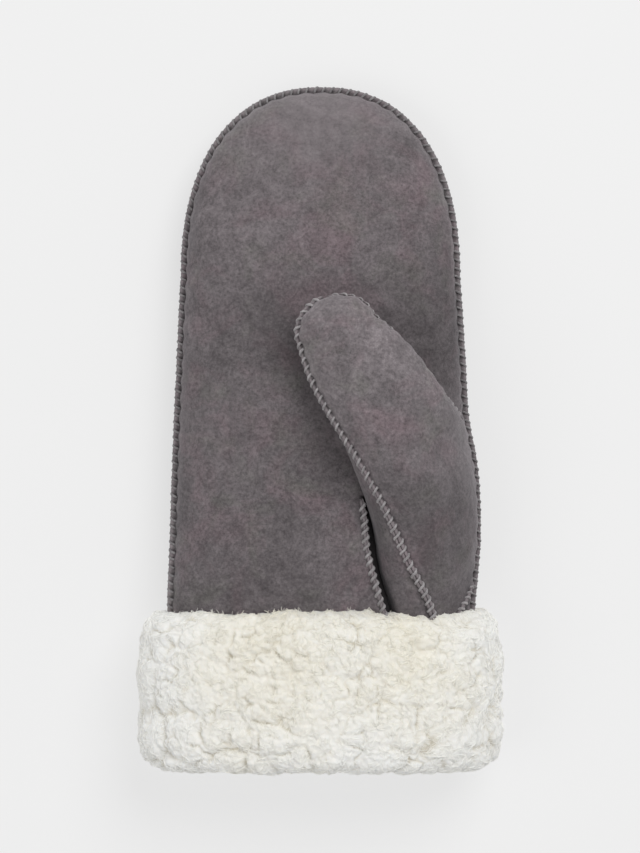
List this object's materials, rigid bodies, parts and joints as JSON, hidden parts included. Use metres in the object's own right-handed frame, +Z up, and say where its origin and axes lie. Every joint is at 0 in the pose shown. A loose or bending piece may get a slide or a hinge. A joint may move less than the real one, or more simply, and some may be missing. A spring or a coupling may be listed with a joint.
{
  "type": "fur mitten",
  "caption": "Shearling mitten lying palm up: sewn suede hand with a set-in thumb, fleece lining and a deep turned-up fleece cuff open at the wrist.",
  "frame": {"origin": "on the surface that the mitten lies on, under the middle of its box", "axes": "+Y from the cuff's fold to the fingertips, +X towards the side that the thumb starts from, +Z up out of the palm"},
  "size_m": [0.1408, 0.2642, 0.0645],
  "materials": {
    "suede": "grey suede with a fine nap",
    "fleece": "cream sheep's wool in loose clumps"
  },
  "bodies": {
    "root": {"palm_panel": "suede", "back_panel": "suede", "thumb_outer_panel": "suede", "thumb_inner_panel": "suede", "fleece_lining": "fleece", "fleece_cuff": "fleece"}
  },
  "joints": []
}
